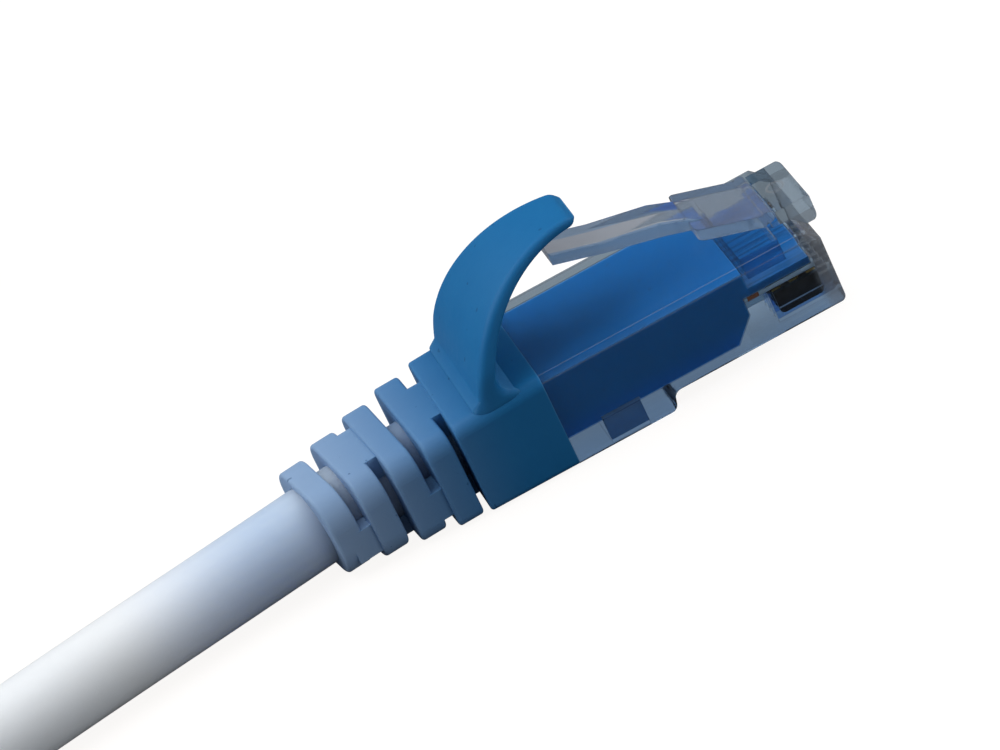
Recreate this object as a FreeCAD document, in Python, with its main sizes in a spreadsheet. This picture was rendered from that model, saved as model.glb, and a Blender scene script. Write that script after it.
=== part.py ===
import FreeCAD
import Part
import Sketcher
import math
import os
import re

from FreeCAD import Placement, Rotation, Vector

# An ethernet patch cable: two clear eight-way plugs with moulded boots, joined by a round cable.
# The near plug lies on its flat underside with its latch up. It points along +X, +Z is up, and
# the origin is on the surface below the middle of the near plug and its boot.
# Each plug is drawn in its own frame: X is 0 at the nose and falls towards the cable, Y is 0 on
# the middle plane and Z is 0 at the underside of the housing's rear block.

document = FreeCAD.newDocument("PatchCable")
sheet = document.addObject("Spreadsheet::Sheet", "Sizes")

# Driving sizes in millimetres and degrees. A name with "back" is a distance behind the nose,
# and a name with "level" is a height above the underside.
SIZES = {
    # Clear housing.
    "housing_width": 11.68,
    "housing_height": 8.0,
    "housing_length": 22.3,
    "nose_level": 1.42,
    "nose_step_back": 14.3,
    "step_slant": 0.3,
    "step_round": 0.6,
    "nose_bevel_length": 1.1,
    "nose_bevel_drop": 1.08,
    "long_edge_round": 0.45,
    # Cavity in the housing that takes the boot's core.
    "side_wall": 0.64,
    "cavity_floor_level": 2.1,
    "roof_wall": 0.7,
    "cavity_foot_back": 8.35,
    "cavity_knee_back": 6.8,
    "cavity_knee_level": 3.9,
    "cavity_top_back": 6.2,
    "tongue_front_back": 1.3,
    "tongue_foot_level": 5.35,
    "tongue_top_level": 6.0,
    "core_gap": 0.05,
    # Shallow recess in the housing's top, under the latch lever.
    "recess_front_back": 2.75,
    "recess_rear_back": 5.8,
    "recess_width": 9.2,
    "recess_depth": 1.7,
    # Contacts and the wires in their row.
    "contact_count": 8,
    "contact_pitch": 1.02,
    "contact_thickness": 0.33,
    "contact_front_back": 1.0,
    "contact_rear_back": 4.5,
    "contact_foot_level": 1.9,
    "contact_shoulder_level": 3.9,
    "contact_tine_level": 4.85,
    "contact_tine_length": 0.7,
    "contact_foot_round": 0.35,
    "slot_gap": 0.06,
    "slot_mouth_level": 3.3,
    "slot_rear_back": 4.9,
    "wire_diameter": 0.86,
    "wire_level": 4.55,
    "wire_front_back": 0.95,
    "channel_gap": 0.17,
    "channel_side_gap": 0.15,
    # Wire guide and the hollow in the boot's core.
    "guide_front_back": 9.0,
    "guide_length": 2.2,
    "guide_width": 8.5,
    "guide_floor_level": 3.3,
    "guide_roof_level": 5.75,
    "guide_hole_gap": 0.06,
    "hollow_side_gap": 0.05,
    "hollow_floor_level": 2.45,
    "hollow_roof_level": 5.85,
    "hollow_lap": 0.2,
    # Wires, separator and hollow end of the jacket.
    "jacket_front_back": 16.4,
    "jacket_mouth_depth": 2.6,
    "jacket_mouth_diameter": 5.2,
    "pairs_level": 3.95,
    "fan_behind_guide": 1.3,
    "pairs_back": 16.1,
    "inner_pair_offset": 0.5,
    "side_pair_inner": 1.05,
    "side_pair_outer": 2.05,
    "pair_rise": 1.15,
    "separator_length": 2.4,
    "separator_thickness": 0.26,
    "separator_width": 4.7,
    "separator_angle": 36.0,
    # Crimp bar and its pocket.
    "crimp_front_back": 16.45,
    "crimp_length": 3.0,
    "crimp_width": 10.2,
    "crimp_foot_level": 0.2,
    "crimp_top_level": 2.35,
    "crimp_gap": 0.05,
    # Latch.
    "latch_width": 6.1,
    "latch_tail_width": 3.24,
    "latch_block_overhang": 0.9,
    "latch_block_drop": 1.0,
    "latch_block_rise": 1.1,
    "latch_block_round": 0.45,
    "latch_axis_back": 2.45,
    "latch_axis_rise": 0.95,
    "latch_knuckle_radius": 0.47,
    "latch_knuckle_gap": 0.06,
    "latch_root_back": 2.96,
    "latch_root_rise": 1.33,
    "latch_shoulder_back": 7.6,
    "latch_shoulder_rise": 2.87,
    "latch_root_thickness": 0.95,
    "latch_tail_root_rise": 3.2,
    "latch_hump_back": 9.45,
    "latch_hump_rise": 3.98,
    "latch_waist_back": 13.9,
    "latch_waist_rise": 4.96,
    "latch_end_back": 17.6,
    "latch_end_rise": 6.1,
    "latch_tail_thickness": 1.1,
    "latch_tail_lap": 1.0,
    "latch_tail_sink": 0.3,
    "latch_belly": 0.2,
    "latch_edge_round": 0.25,
    # Boot block behind the housing.
    "boot_width": 11.7,
    "boot_block_rear_back": 29.4,
    "boot_block_fall": 0.4,
    "boot_top_round": 1.0,
    "boot_bottom_round": 0.5,
    "boot_edge_round": 0.25,
    # Hook over the latch.
    "hook_centre_back": 16.3,
    "hook_centre_drop": 2.7,
    "hook_radius": 11.0,
    "hook_inner_centre_back": 16.03,
    "hook_inner_centre_drop": 2.253,
    "hook_inner_radius": 9.77,
    "hook_tip_back": 14.8,
    "hook_root_width": 11.3,
    "hook_waist_back": 21.0,
    "hook_waist_width": 7.4,
    "hook_tip_width": 4.4,
    "hook_tip_round": 0.7,
    "hook_edge_bevel": 0.4,
    "hook_axis_back": 26.19,
    "hook_axis_rise": 0.25,
    "hook_knuckle_radius": 0.71,
    "hook_knuckle_gap": 0.08,
    # Ribbed tail.
    "ring_count": 4,
    "ring_pitch": 2.9,
    "ring_length": 2.0,
    "ring_first_back": 30.2,
    "ring_first_width": 11.3,
    "ring_first_height": 7.4,
    "ring_last_width": 8.9,
    "ring_last_height": 6.8,
    "ring_first_top_round": 1.4,
    "ring_last_top_round": 2.6,
    "ring_first_bottom_round": 0.7,
    "ring_last_bottom_round": 2.5,
    "ring_edge_round": 0.25,
    "bridge_width": 5.0,
    "bridge_side_foot_level": 1.2,
    "bridge_side_top_level": 3.6,
    "tail_bend_back": 27.0,
    "tail_bend_radius": 92.0,
    # Cable.
    "jacket_diameter": 6.1,
    "jacket_gap": 0.05,
    "jacket_front_level": 4.0,
    "jacket_tail_level": 3.3,
    "jacket_joint_back": 38.9,
    # Corners of the stretch that lies on the surface and then climbs to the coil's upper layer.
    "lead_bend_behind": 40.3,
    "lead_bend_side": 4.1,
    "lead_rise_behind": 55.6,
    "lead_rise_side": 7.1,
    # Coil of the lead that lies out of the way.
    "coil_centre_behind": 94.0,
    "coil_centre_side": 26.5,
    "coil_radius": 36.5,
    "coil_turns_per_layer": 2,
    "coil_pitch": 6.6,
    "coil_layer_height": 6.6,
    "coil_entry_run": 15.0,
    # Last stretch before the far plug.
    "far_run_length": 8.0,
    "far_cable_turn": 2.0,
    # How far a cut goes past the surface that it opens.
    "cut_past": 1.0,
    "bore_past": 6.0,
}

for row, (name, value) in enumerate(SIZES.items(), start=1):
    sheet.set(f"A{row}", name)
    sheet.set(f"B{row}", str(value))
    sheet.setAlias(f"B{row}", name)
document.recompute()


def on_sheet(text):
    """The expression that reads the named sizes in the text from the sheet."""
    return re.sub(r"[a-z][a-z_]*", lambda word: "Sizes." + word.group(), text)


def size(text):
    """The number that the named sizes in the text come to."""
    return float(sheet.evalExpression(on_sheet(text)))


def origin_plane(body, role):
    """The body's own base plane with this role."""
    for feature in body.Origin.OriginFeatures:
        if feature.Role == role:
            return feature
    raise ValueError(role)


def new_body(name):
    """An empty body."""
    return document.addObject("PartDesign::Body", name)


def new_sketch(body, plane, name, offset=None):
    """An empty sketch on one of the body's base planes, moved by the offset."""
    sketch = body.newObject("Sketcher::SketchObject", name)
    sketch.AttachmentSupport = (origin_plane(body, plane), "")
    sketch.MapMode = "FlatFace"
    if offset is not None:
        sketch.AttachmentOffset = offset
    return sketch


def bind_point(sketch, geometry, position, across, up):
    """Ties one end of a sketch line to two expressions."""
    for kind, text in (("DistanceX", across), ("DistanceY", up)):
        datum = sketch.addConstraint(
            Sketcher.Constraint(kind, -1, 1, geometry, position, size(text)))
        sketch.setExpression(f"Constraints[{datum}]", on_sheet(text))


def add_loop(sketch, corners):
    """Adds a closed loop of straight lines through the corners."""
    first = sketch.GeometryCount
    points = [Vector(size(across), size(up), 0) for across, up in corners]
    for index, point in enumerate(points):
        sketch.addGeometry(Part.LineSegment(point, points[(index + 1) % len(points)]), False)
    for index in range(len(points)):
        following = (index + 1) % len(points)
        sketch.addConstraint(
            Sketcher.Constraint("Coincident", first + index, 2, first + following, 1))
    for index, (across, up) in enumerate(corners):
        bind_point(sketch, first + index, 1, across, up)


def outline(body, plane, name, corners, offset=None):
    """A sketch of one closed loop of straight lines."""
    sketch = new_sketch(body, plane, name, offset)
    add_loop(sketch, corners)
    return sketch


def block_corners(left, right, bottom, top):
    """The four corners of an upright rectangle."""
    return [(left, bottom), (right, bottom), (right, top), (left, top)]


def check_state(feature, names=()):
    """Stops at a feature that failed."""
    if "Invalid" in feature.State or "Error" in feature.State or feature.Shape.isNull():
        raise ValueError(f"{feature.Name} failed: {feature.State} {names}")


def pad(body, sketch, length, symmetric=True):
    """A pad of the sketch, to both sides or to the plane's own side."""
    feature = body.newObject("PartDesign::Pad", sketch.Name + "Pad")
    feature.Profile = sketch
    feature.SideType = "Symmetric" if symmetric else "One side"
    feature.Length = size(length)
    feature.setExpression("Length", on_sheet(length))
    document.recompute()
    check_state(feature)
    return feature


def pocket(body, sketch, length):
    """A pocket of the sketch, the same depth to both sides of its plane."""
    before = body.Shape.Volume
    feature = body.newObject("PartDesign::Pocket", sketch.Name + "Pocket")
    feature.Profile = sketch
    feature.SideType = "Symmetric"
    feature.Length = size(length)
    feature.setExpression("Length", on_sheet(length))
    document.recompute()
    if body.Shape.Volume >= before:
        raise ValueError(f"{sketch.Name} removes nothing: {feature.State} {sketch.State}")
    return feature


def edges_where(shape, wanted):
    """The names of the shape's edges whose middle point and direction are wanted."""
    names = []
    for index, edge in enumerate(shape.Edges, start=1):
        if edge.Degenerated:
            continue
        middle = edge.valueAt((edge.FirstParameter + edge.LastParameter) / 2)
        along = edge.tangentAt((edge.FirstParameter + edge.LastParameter) / 2)
        if wanted(middle, along):
            names.append(f"Edge{index}")
    return names


def dress(body, kind, radius, wanted):
    """A fillet or chamfer of the wanted edges of the body's latest feature."""
    base = body.Tip
    names = edges_where(base.Shape, wanted)
    feature = body.newObject("PartDesign::" + kind, base.Name + kind)
    feature.Base = (base, names)
    setting = "Radius" if kind == "Fillet" else "Size"
    setattr(feature, setting, size(radius))
    feature.setExpression(setting, on_sheet(radius))
    document.recompute()
    check_state(feature, names)
    return feature


def rounded_block(body, plane, name, width, foot, top, foot_round, top_round, offset=None):
    """A sketch of a rectangle with its own corner radius above and below."""
    sketch = new_sketch(body, plane, name, offset)
    half = width / 2
    corners = [
        (half - foot_round, foot + foot_round, foot_round, -math.pi / 2, 0),
        (half - top_round, top - top_round, top_round, 0, math.pi / 2),
        (top_round - half, top - top_round, top_round, math.pi / 2, math.pi),
        (foot_round - half, foot + foot_round, foot_round, math.pi, 3 * math.pi / 2),
    ]
    for across, up, radius, begin, end in corners:
        circle = Part.Circle(Vector(across, up, 0), Vector(0, 0, 1), radius)
        sketch.addGeometry(Part.ArcOfCircle(circle, begin, end), False)
    ends = [
        (Vector(half, foot + foot_round, 0), Vector(half, top - top_round, 0)),
        (Vector(half - top_round, top, 0), Vector(top_round - half, top, 0)),
        (Vector(-half, top - top_round, 0), Vector(-half, foot + foot_round, 0)),
        (Vector(foot_round - half, foot, 0), Vector(half - foot_round, foot, 0)),
    ]
    for index, (begin, end) in enumerate(ends):
        line = sketch.addGeometry(Part.LineSegment(begin, end), False)
        sketch.addConstraint(Sketcher.Constraint("Tangent", index, 2, line, 1))
        sketch.addConstraint(Sketcher.Constraint("Tangent", line, 2, (index + 1) % 4, 1))
        sketch.addConstraint(Sketcher.Constraint("Vertical" if index % 2 == 0 else "Horizontal", line))
    for index, radius in ((0, foot_round), (1, top_round), (2, top_round), (3, foot_round)):
        sketch.addConstraint(Sketcher.Constraint("Radius", index, radius))
    sketch.addConstraint(Sketcher.Constraint("DistanceX", -1, 1, 4, 1, half))
    sketch.addConstraint(Sketcher.Constraint("DistanceX", -1, 1, 6, 1, -half))
    sketch.addConstraint(Sketcher.Constraint("DistanceY", -1, 1, 7, 1, foot))
    sketch.addConstraint(Sketcher.Constraint("DistanceY", -1, 1, 5, 1, top))
    return sketch


def cross_cylinder(name, back, level, radius, length):
    """A cylinder along Y, middle on the plug's middle plane."""
    cylinder = document.addObject("Part::Cylinder", name)
    cylinder.setExpression("Radius", on_sheet(radius))
    cylinder.setExpression("Height", on_sheet(length))
    start = Vector(-size(back), size(length) / 2, size(level))
    cylinder.Placement = Placement(start, Rotation(Vector(1, 0, 0), 90))
    return cylinder


def cut(name, base, tool):
    """What is left of the base when the tool is cut from it."""
    result = document.addObject("Part::Cut", name)
    result.Base = base
    result.Tool = tool
    return result


def fuse(name, shapes):
    """One solid of several."""
    result = document.addObject("Part::MultiFuse", name)
    result.Shapes = shapes
    result.Refine = True
    return result


def solid(name, shape):
    """A feature that holds a finished shape."""
    feature = document.addObject("Part::Feature", name)
    feature.Shape = shape
    return feature


nodes = []


def keep(feature, label, place):
    """Names a finished sub-part and puts it where it belongs."""
    document.recompute()
    feature.Label = label
    feature.Placement = place
    nodes.append(feature)
    return feature


# Routes: straight runs joined by tangent arcs. An arc takes this share of the shorter run.

CORNER_SHARE = 0.45


def corner_arc(before, corner, after, reach):
    """The tangent arc that rounds a corner, from one reach before it to one reach after it."""
    arrive = (corner - before).normalize()
    leave = (after - corner).normalize()
    begin = corner - arrive * reach
    end = corner + leave * reach
    half_turn = arrive.getAngle(leave) / 2
    weight = math.cos(half_turn)
    middle = (begin + corner * (2 * weight) + end) * (1 / (2 + 2 * weight))
    return begin, middle, end, reach / math.tan(half_turn)


def rounded_route(points, radii=None):
    """Edges along the points, each inner point rounded as widely as its shorter run allows."""
    edges = []
    at = points[0]
    found = []
    for index in range(1, len(points) - 1):
        before, corner, after = points[index - 1:index + 2]
        shorter = min((corner - before).Length, (after - corner).Length)
        reach = CORNER_SHARE * shorter
        if radii is not None:
            half_turn = (corner - before).getAngle(after - corner) / 2
            reach = radii[index - 1] * math.tan(half_turn)
        begin, middle, end, radius = corner_arc(before, corner, after, reach)
        edges.append(Part.LineSegment(at, begin).toShape())
        edges.append(Part.Arc(begin, middle, end).toShape())
        at = end
        found.append(round(radius, 1))
    if (points[-1] - at).Length > 0.001:
        edges.append(Part.LineSegment(at, points[-1]).toShape())
    return edges, found


def tube(edges, radius):
    """A round solid along the edges of a route."""
    path = Part.Wire(edges)
    start = edges[0].valueAt(edges[0].FirstParameter)
    heading = edges[0].tangentAt(edges[0].FirstParameter)
    ring = Part.Wire(Part.Circle(start, heading, radius).toShape())
    return path.makePipeShell([ring], True, False)


def round_bar(start, end, radius):
    """A straight round bar between two points."""
    axis = end - start
    return Part.makeCylinder(radius, axis.Length, start, axis)


# The jacket's way through the plug and its boot.

def tail_side(back):
    """How far the bent tail has gone towards -Y at this distance behind the nose."""
    past = back - size("tail_bend_back")
    if past <= 0:
        return 0.0
    radius = size("tail_bend_radius")
    return radius - math.sqrt(radius ** 2 - past ** 2)


def tail_turn(back):
    """The tail's turn towards -Y there, in radians."""
    past = max(0.0, back - size("tail_bend_back"))
    return math.asin(past / size("tail_bend_radius"))


def jacket_points():
    """The corners of the jacket's route inside the plug and the boot, sloping down to the tail."""
    joint_back = size("jacket_joint_back")
    reach = size("tail_bend_radius") * math.tan(tail_turn(joint_back) / 2)
    apex_back = size("tail_bend_back") + reach
    front_back = size("jacket_front_back")
    fall = size("jacket_front_level - jacket_tail_level")
    apex_level = size("jacket_tail_level") + fall * reach / (apex_back - front_back + reach)
    return [
        Vector(-front_back, 0, size("jacket_front_level")),
        Vector(-apex_back, 0, apex_level),
        Vector(-joint_back, -tail_side(joint_back), size("jacket_tail_level")),
    ]


def jacket_edges(beyond=0.0):
    """The jacket's route, made longer at the tail by some length."""
    points = jacket_points()
    points[2] = points[2] + (points[2] - points[1]).normalize() * beyond
    edges, _ = rounded_route(points, [size("tail_bend_radius")])
    return edges


JACKET_RADIUS = size("jacket_diameter") / 2


# Clear housing: a stepped block with a bevelled nose, hollow at the rear, slotted under the nose.

def core_side_corners(gap):
    """The side outline that the cavity and the boot's core share, smaller by the gap.

    The core ends in a flat tongue over the wires.
    """
    floor = f"cavity_floor_level + {gap}"
    roof = f"housing_height - roof_wall - {gap}"
    knee = f"-cavity_knee_back - {gap}"
    tongue_front = f"-tongue_front_back - {gap}"
    top_front = f"-cavity_top_back - {gap}"
    return [
        ("-housing_length", floor),
        (f"-cavity_foot_back - {gap}", floor),
        (knee, f"cavity_knee_level + {gap}"),
        (knee, f"tongue_foot_level + {gap}"),
        (tongue_front, f"tongue_foot_level + {gap}"),
        (tongue_front, f"tongue_top_level - {gap}"),
        (top_front, f"tongue_top_level - {gap}"),
        (top_front, roof),
        ("-housing_length", roof),
    ]


def make_housing(prefix, place, bore):
    body = new_body(prefix + "HousingBody")
    side = outline(body, "XZ_Plane", prefix + "HousingSide", [
        ("0", "nose_level"),
        ("0", "housing_height - nose_bevel_drop"),
        ("-nose_bevel_length", "housing_height"),
        ("-housing_length", "housing_height"),
        ("-housing_length", "0"),
        ("-nose_step_back", "0"),
        ("-nose_step_back + step_slant", "nose_level"),
    ])
    pad(body, side, "housing_width")

    def step_edge(middle, along):
        past_step = middle.x + size("nose_step_back")
        return abs(along.y) > 0.99 and -0.01 < past_step < size("step_slant") + 0.01

    dress(body, "Fillet", "step_round", step_edge)
    half_width = size("housing_width") / 2

    def side_edge(middle, along):
        at_side = abs(abs(middle.y) - half_width) < 0.01
        at_nose = abs(middle.x) < 0.01
        low = abs(middle.z - size("nose_level")) < 0.01
        long = abs(along.x) > 0.99
        bevelled = middle.x > -size("nose_bevel_length")
        return (at_side and (long or bevelled)) or (at_nose and low)

    dress(body, "Fillet", "long_edge_round", side_edge)

    nook_front = "-latch_axis_back + latch_knuckle_radius + latch_knuckle_gap"
    nook_floor = "housing_height + latch_axis_rise - latch_knuckle_radius - latch_knuckle_gap"
    block = outline(body, "XZ_Plane", prefix + "LatchBlockSide", [
        ("latch_block_overhang", "housing_height - latch_block_drop"),
        ("latch_block_overhang", "housing_height + latch_block_rise"),
        (nook_front, "housing_height + latch_block_rise"),
        (nook_front, nook_floor),
        ("-latch_axis_back", nook_floor),
        ("-latch_axis_back", "housing_height - nose_bevel_drop"),
        ("0", "housing_height - latch_block_drop"),
    ])
    pad(body, block, "latch_width")

    def block_front(middle, along):
        return abs(middle.x - size("latch_block_overhang")) < 0.01

    dress(body, "Fillet", "latch_block_round", block_front)

    cavity = outline(body, "XZ_Plane", prefix + "Cavity", core_side_corners("0"))
    pocket(body, cavity, "housing_width - 2 * side_wall")
    channel = outline(body, "XZ_Plane", prefix + "WireChannel", block_corners(
        "-guide_front_back", "-wire_front_back",
        "wire_level - wire_diameter / 2 - channel_gap",
        "wire_level + wire_diameter / 2 + channel_gap"))
    pocket(body, channel,
           "(contact_count - 1) * contact_pitch + wire_diameter + 2 * channel_side_gap")
    recess = outline(body, "XZ_Plane", prefix + "TopRecess", block_corners(
        "-recess_rear_back", "-recess_front_back",
        "housing_height - recess_depth", "housing_height + cut_past"))
    pocket(body, recess, "recess_width")
    crimp_well = outline(body, "XZ_Plane", prefix + "CrimpWell", block_corners(
        "-crimp_front_back - crimp_length - crimp_gap", "-crimp_front_back",
        "-cut_past", "cavity_floor_level + cut_past"))
    pocket(body, crimp_well, "crimp_width + 2 * crimp_gap")

    slots = []
    for number in range(size_count("contact_count")):
        slot = new_body(f"{prefix}Slot{number + 1}")
        profile = outline(slot, "XZ_Plane", f"{prefix}SlotSide{number + 1}", [
            ("cut_past", "nose_level - cut_past"),
            ("cut_past", "slot_mouth_level"),
            ("-contact_front_back", "slot_mouth_level"),
            ("-contact_front_back", "wire_level"),
            ("-slot_rear_back", "wire_level"),
            ("-slot_rear_back", "nose_level - cut_past"),
        ])
        pad(slot, profile, "contact_thickness + 2 * slot_gap")
        slot.Placement.Base = Vector(0, contact_side(number), 0)
        slots.append(slot)
    cutter = document.addObject("Part::MultiFuse", prefix + "HousingCutter")
    cutter.Shapes = slots + [bore]
    keep(cut(prefix + "Housing", body, cutter), prefix + "plug_housing", place)


def size_count(name):
    """A whole number from the sheet."""
    return int(round(size(name)))


def contact_side(number):
    """The Y of a contact and its wire. The first is on the -Y side."""
    middle = (size_count("contact_count") - 1) / 2
    return (number - middle) * size("contact_pitch")


# Gold-plated contacts: a thin blade with two tines that pierce its wire.

def make_contact(prefix, place, number):
    body = new_body(f"{prefix}Contact{number + 1}")
    front = "-contact_front_back"
    rear = "-contact_rear_back"
    shoulder = "contact_shoulder_level"
    tine = "contact_tine_level"
    length = "contact_tine_length"
    profile = outline(body, "XZ_Plane", f"{prefix}ContactSide{number + 1}", [
        (front, "contact_foot_level"),
        (front, shoulder),
        (f"{front} - {length}", shoulder),
        (f"{front} - {length} * 1.5", tine),
        (f"{front} - {length} * 2", shoulder),
        (f"{rear} + {length} * 2", shoulder),
        (f"{rear} + {length} * 1.5", tine),
        (f"{rear} + {length}", shoulder),
        (rear, shoulder),
        (rear, "contact_foot_level"),
    ])
    pad(body, profile, "contact_thickness")

    def foot_edge(middle, along):
        at_foot = abs(middle.z - size("contact_foot_level")) < 0.01
        return at_foot and abs(along.y) > 0.99

    dress(body, "Fillet", "contact_foot_round", foot_edge)
    shift = Placement(Vector(0, contact_side(number), 0), Rotation())
    blade = body.Shape.copy()
    blade.Placement = shift
    keep(body, f"{prefix}contact_{number + 1}", place.multiply(shift))
    return blade


# The eight insulated wires, from their row under the contacts to the pairs in the jacket.
WIRES = [
    ("wire_white_orange", "-side_pair_outer", "0"),
    ("wire_orange", "-side_pair_inner", "0"),
    ("wire_white_green", "-inner_pair_offset", "-pair_rise"),
    ("wire_blue", "-inner_pair_offset", "pair_rise"),
    ("wire_white_blue", "inner_pair_offset", "pair_rise"),
    ("wire_green", "inner_pair_offset", "-pair_rise"),
    ("wire_white_brown", "side_pair_inner", "0"),
    ("wire_brown", "side_pair_outer", "0"),
]


def make_wire(prefix, place, number, blade):
    name, across, up = WIRES[number]
    side = contact_side(number)
    level = size("wire_level")
    pair_side = size(across)
    pair_level = size("pairs_level") + size(up)
    mouth_back = size("jacket_front_back") + size("jacket_mouth_depth")
    fan_back = size("guide_front_back + guide_length + fan_behind_guide")
    points = [
        Vector(-size("wire_front_back"), side, level),
        Vector(-fan_back, side, level),
        Vector(-size("pairs_back"), pair_side, pair_level),
        Vector(-mouth_back, pair_side, pair_level),
    ]
    edges, _ = rounded_route(points)
    shape = tube(edges, size("wire_diameter") / 2).cut(blade)
    keep(solid(prefix + name, shape), prefix + name, place)


# Wire guide: a comb that the wires pass through in their row.

def make_guide(prefix, place):
    body = new_body(prefix + "GuideBody")
    rear = "-guide_front_back - guide_length"
    side = outline(body, "XZ_Plane", prefix + "GuideSide", block_corners(
        rear, "-guide_front_back", "guide_floor_level", "guide_roof_level"))
    pad(body, side, "guide_width")
    holes = new_sketch(body, "YZ_Plane", prefix + "GuideHoles")
    radius = size("wire_diameter / 2 + guide_hole_gap")
    for number in range(size_count("contact_count")):
        middle = Vector(contact_side(number), size("wire_level"), 0)
        hole = holes.addGeometry(Part.Circle(middle, Vector(0, 0, 1), radius), False)
        datum = holes.addConstraint(Sketcher.Constraint("Radius", hole, radius))
        holes.setExpression(f"Constraints[{datum}]", on_sheet("wire_diameter / 2 + guide_hole_gap"))
        holes.addConstraint(Sketcher.Constraint("DistanceX", -1, 1, hole, 3, middle.x))
        holes.addConstraint(Sketcher.Constraint("DistanceY", -1, 1, hole, 3, middle.y))
    pocket(body, holes, "(guide_front_back + guide_length) * 2 + 2")
    keep(body, prefix + "wire_guide", place)


# Crimp bar: the bar under the housing that is pressed into the jacket.

def make_crimp_bar(prefix, place):
    body = new_body(prefix + "CrimpBody")
    side = outline(body, "XZ_Plane", prefix + "CrimpSide", block_corners(
        "-crimp_front_back - crimp_length", "-crimp_front_back",
        "crimp_foot_level", "crimp_top_level"))
    pad(body, side, "crimp_width")
    keep(body, prefix + "crimp_bar", place)


# Pair separator: a cross that keeps the four pairs apart in the jacket.

def make_separator(prefix, place):
    blades = []
    length = size("separator_length")
    width = size("separator_width")
    thickness = size("separator_thickness")
    mouth_back = size("jacket_front_back") + size("jacket_mouth_depth")
    for number, sign in enumerate((1, -1)):
        blade = document.addObject("Part::Box", f"{prefix}SeparatorBlade{number + 1}")
        blade.setExpression("Length", on_sheet("separator_length"))
        blade.setExpression("Width", on_sheet("separator_width"))
        blade.setExpression("Height", on_sheet("separator_thickness"))
        turn = Rotation(Vector(1, 0, 0), sign * size("separator_angle"))
        corner = turn.multVec(Vector(0, -width / 2, -thickness / 2))
        middle = Vector(-mouth_back, 0, size("pairs_level"))
        blade.Placement = Placement(middle + corner, turn)
        blades.append(blade)
    keep(fuse(prefix + "Separator", blades), prefix + "pair_separator", place)


# Jacket's end inside the plug and the boot, opened at the front for the pairs and nicked by the bar.

def make_jacket_end(prefix, place):
    shape = tube(jacket_edges(), JACKET_RADIUS)
    mouth_back = size("jacket_front_back") + size("jacket_mouth_depth")
    level = size("pairs_level")
    mouth = round_bar(Vector(-size("wire_front_back"), 0, level), Vector(-mouth_back, 0, level),
                      size("jacket_mouth_diameter") / 2)
    nick = Part.makeBox(size("crimp_length"), size("crimp_width"), size("crimp_top_level"),
                        Vector(-size("crimp_front_back + crimp_length"), -size("crimp_width") / 2, 0))
    shape = shape.cut(mouth).cut(nick)
    keep(solid(prefix + "JacketEnd", shape), prefix + "jacket_end", place)


# Clear latch lever: wide at the knuckle in the root block, narrow behind its shoulders.

def make_lever(prefix, place):
    body = new_body(prefix + "LeverBody")
    root = outline(body, "XZ_Plane", prefix + "LeverRoot", [
        ("-latch_axis_back", "housing_height + latch_axis_rise + latch_knuckle_radius"),
        ("-latch_root_back", "housing_height + latch_root_rise"),
        ("-latch_shoulder_back", "housing_height + latch_shoulder_rise"),
        ("-latch_shoulder_back", "housing_height + latch_shoulder_rise - latch_root_thickness"),
        ("-latch_root_back", "housing_height + latch_root_rise - latch_root_thickness"),
        ("-latch_axis_back", "housing_height + latch_axis_rise - latch_knuckle_radius"),
    ])
    pad(body, root, "latch_width")
    tail = outline(body, "XZ_Plane", prefix + "LeverTail", [
        ("-latch_shoulder_back + latch_tail_lap", "housing_height + latch_shoulder_rise - latch_tail_sink"),
        ("-latch_shoulder_back", "housing_height + latch_tail_root_rise"),
        ("-latch_hump_back", "housing_height + latch_hump_rise"),
        ("-latch_waist_back", "housing_height + latch_waist_rise"),
        ("-latch_end_back", "housing_height + latch_end_rise"),
        ("-latch_end_back", "housing_height + latch_end_rise - latch_tail_thickness"),
        ("-latch_waist_back", "housing_height + latch_waist_rise - latch_tail_thickness"),
        ("-latch_hump_back", "housing_height + latch_hump_rise - latch_tail_thickness - latch_belly"),
        ("-latch_shoulder_back + latch_tail_lap",
         "housing_height + latch_shoulder_rise - latch_root_thickness - latch_belly"),
    ])
    pad(body, tail, "latch_tail_width")

    def tail_edge(middle, along):
        behind = middle.x < -size("latch_shoulder_back") - 0.1
        outer = abs(abs(middle.y) - size("latch_tail_width") / 2) < 0.01
        return behind and outer and abs(along.y) < 0.01

    def shoulder_edge(middle, along):
        outer = abs(abs(middle.y) - size("latch_width") / 2) < 0.01
        return outer and abs(along.z) > 0.99

    dress(body, "Fillet", "latch_edge_round", tail_edge)
    dress(body, "Fillet", "latch_edge_round * 2", shoulder_edge)
    knuckle = cross_cylinder(prefix + "LatchKnuckle", "latch_axis_back",
                             "housing_height + latch_axis_rise",
                             "latch_knuckle_radius", "latch_width")
    keep(fuse(prefix + "Lever", [body, knuckle]), prefix + "latch_lever", place)


# Boot: block with the hook's socket, core inside the housing, and a ribbed tail round the jacket.

def ring_share(number):
    """0 for the ring next to the block, 1 for the last one."""
    return number / (size_count("ring_count") - 1)


def between(first, last, share):
    """A named size that goes from its first to its last value."""
    return size(first) + (size(last) - size(first)) * share


def ring_offset(back):
    """Where a ring's front face sits on the bent tail, as an offset of the YZ plane."""
    turn = Rotation(Vector(0, 1, 0), math.degrees(tail_turn(back)))
    return Placement(Vector(-tail_side(back), 0, -back), turn)


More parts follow.
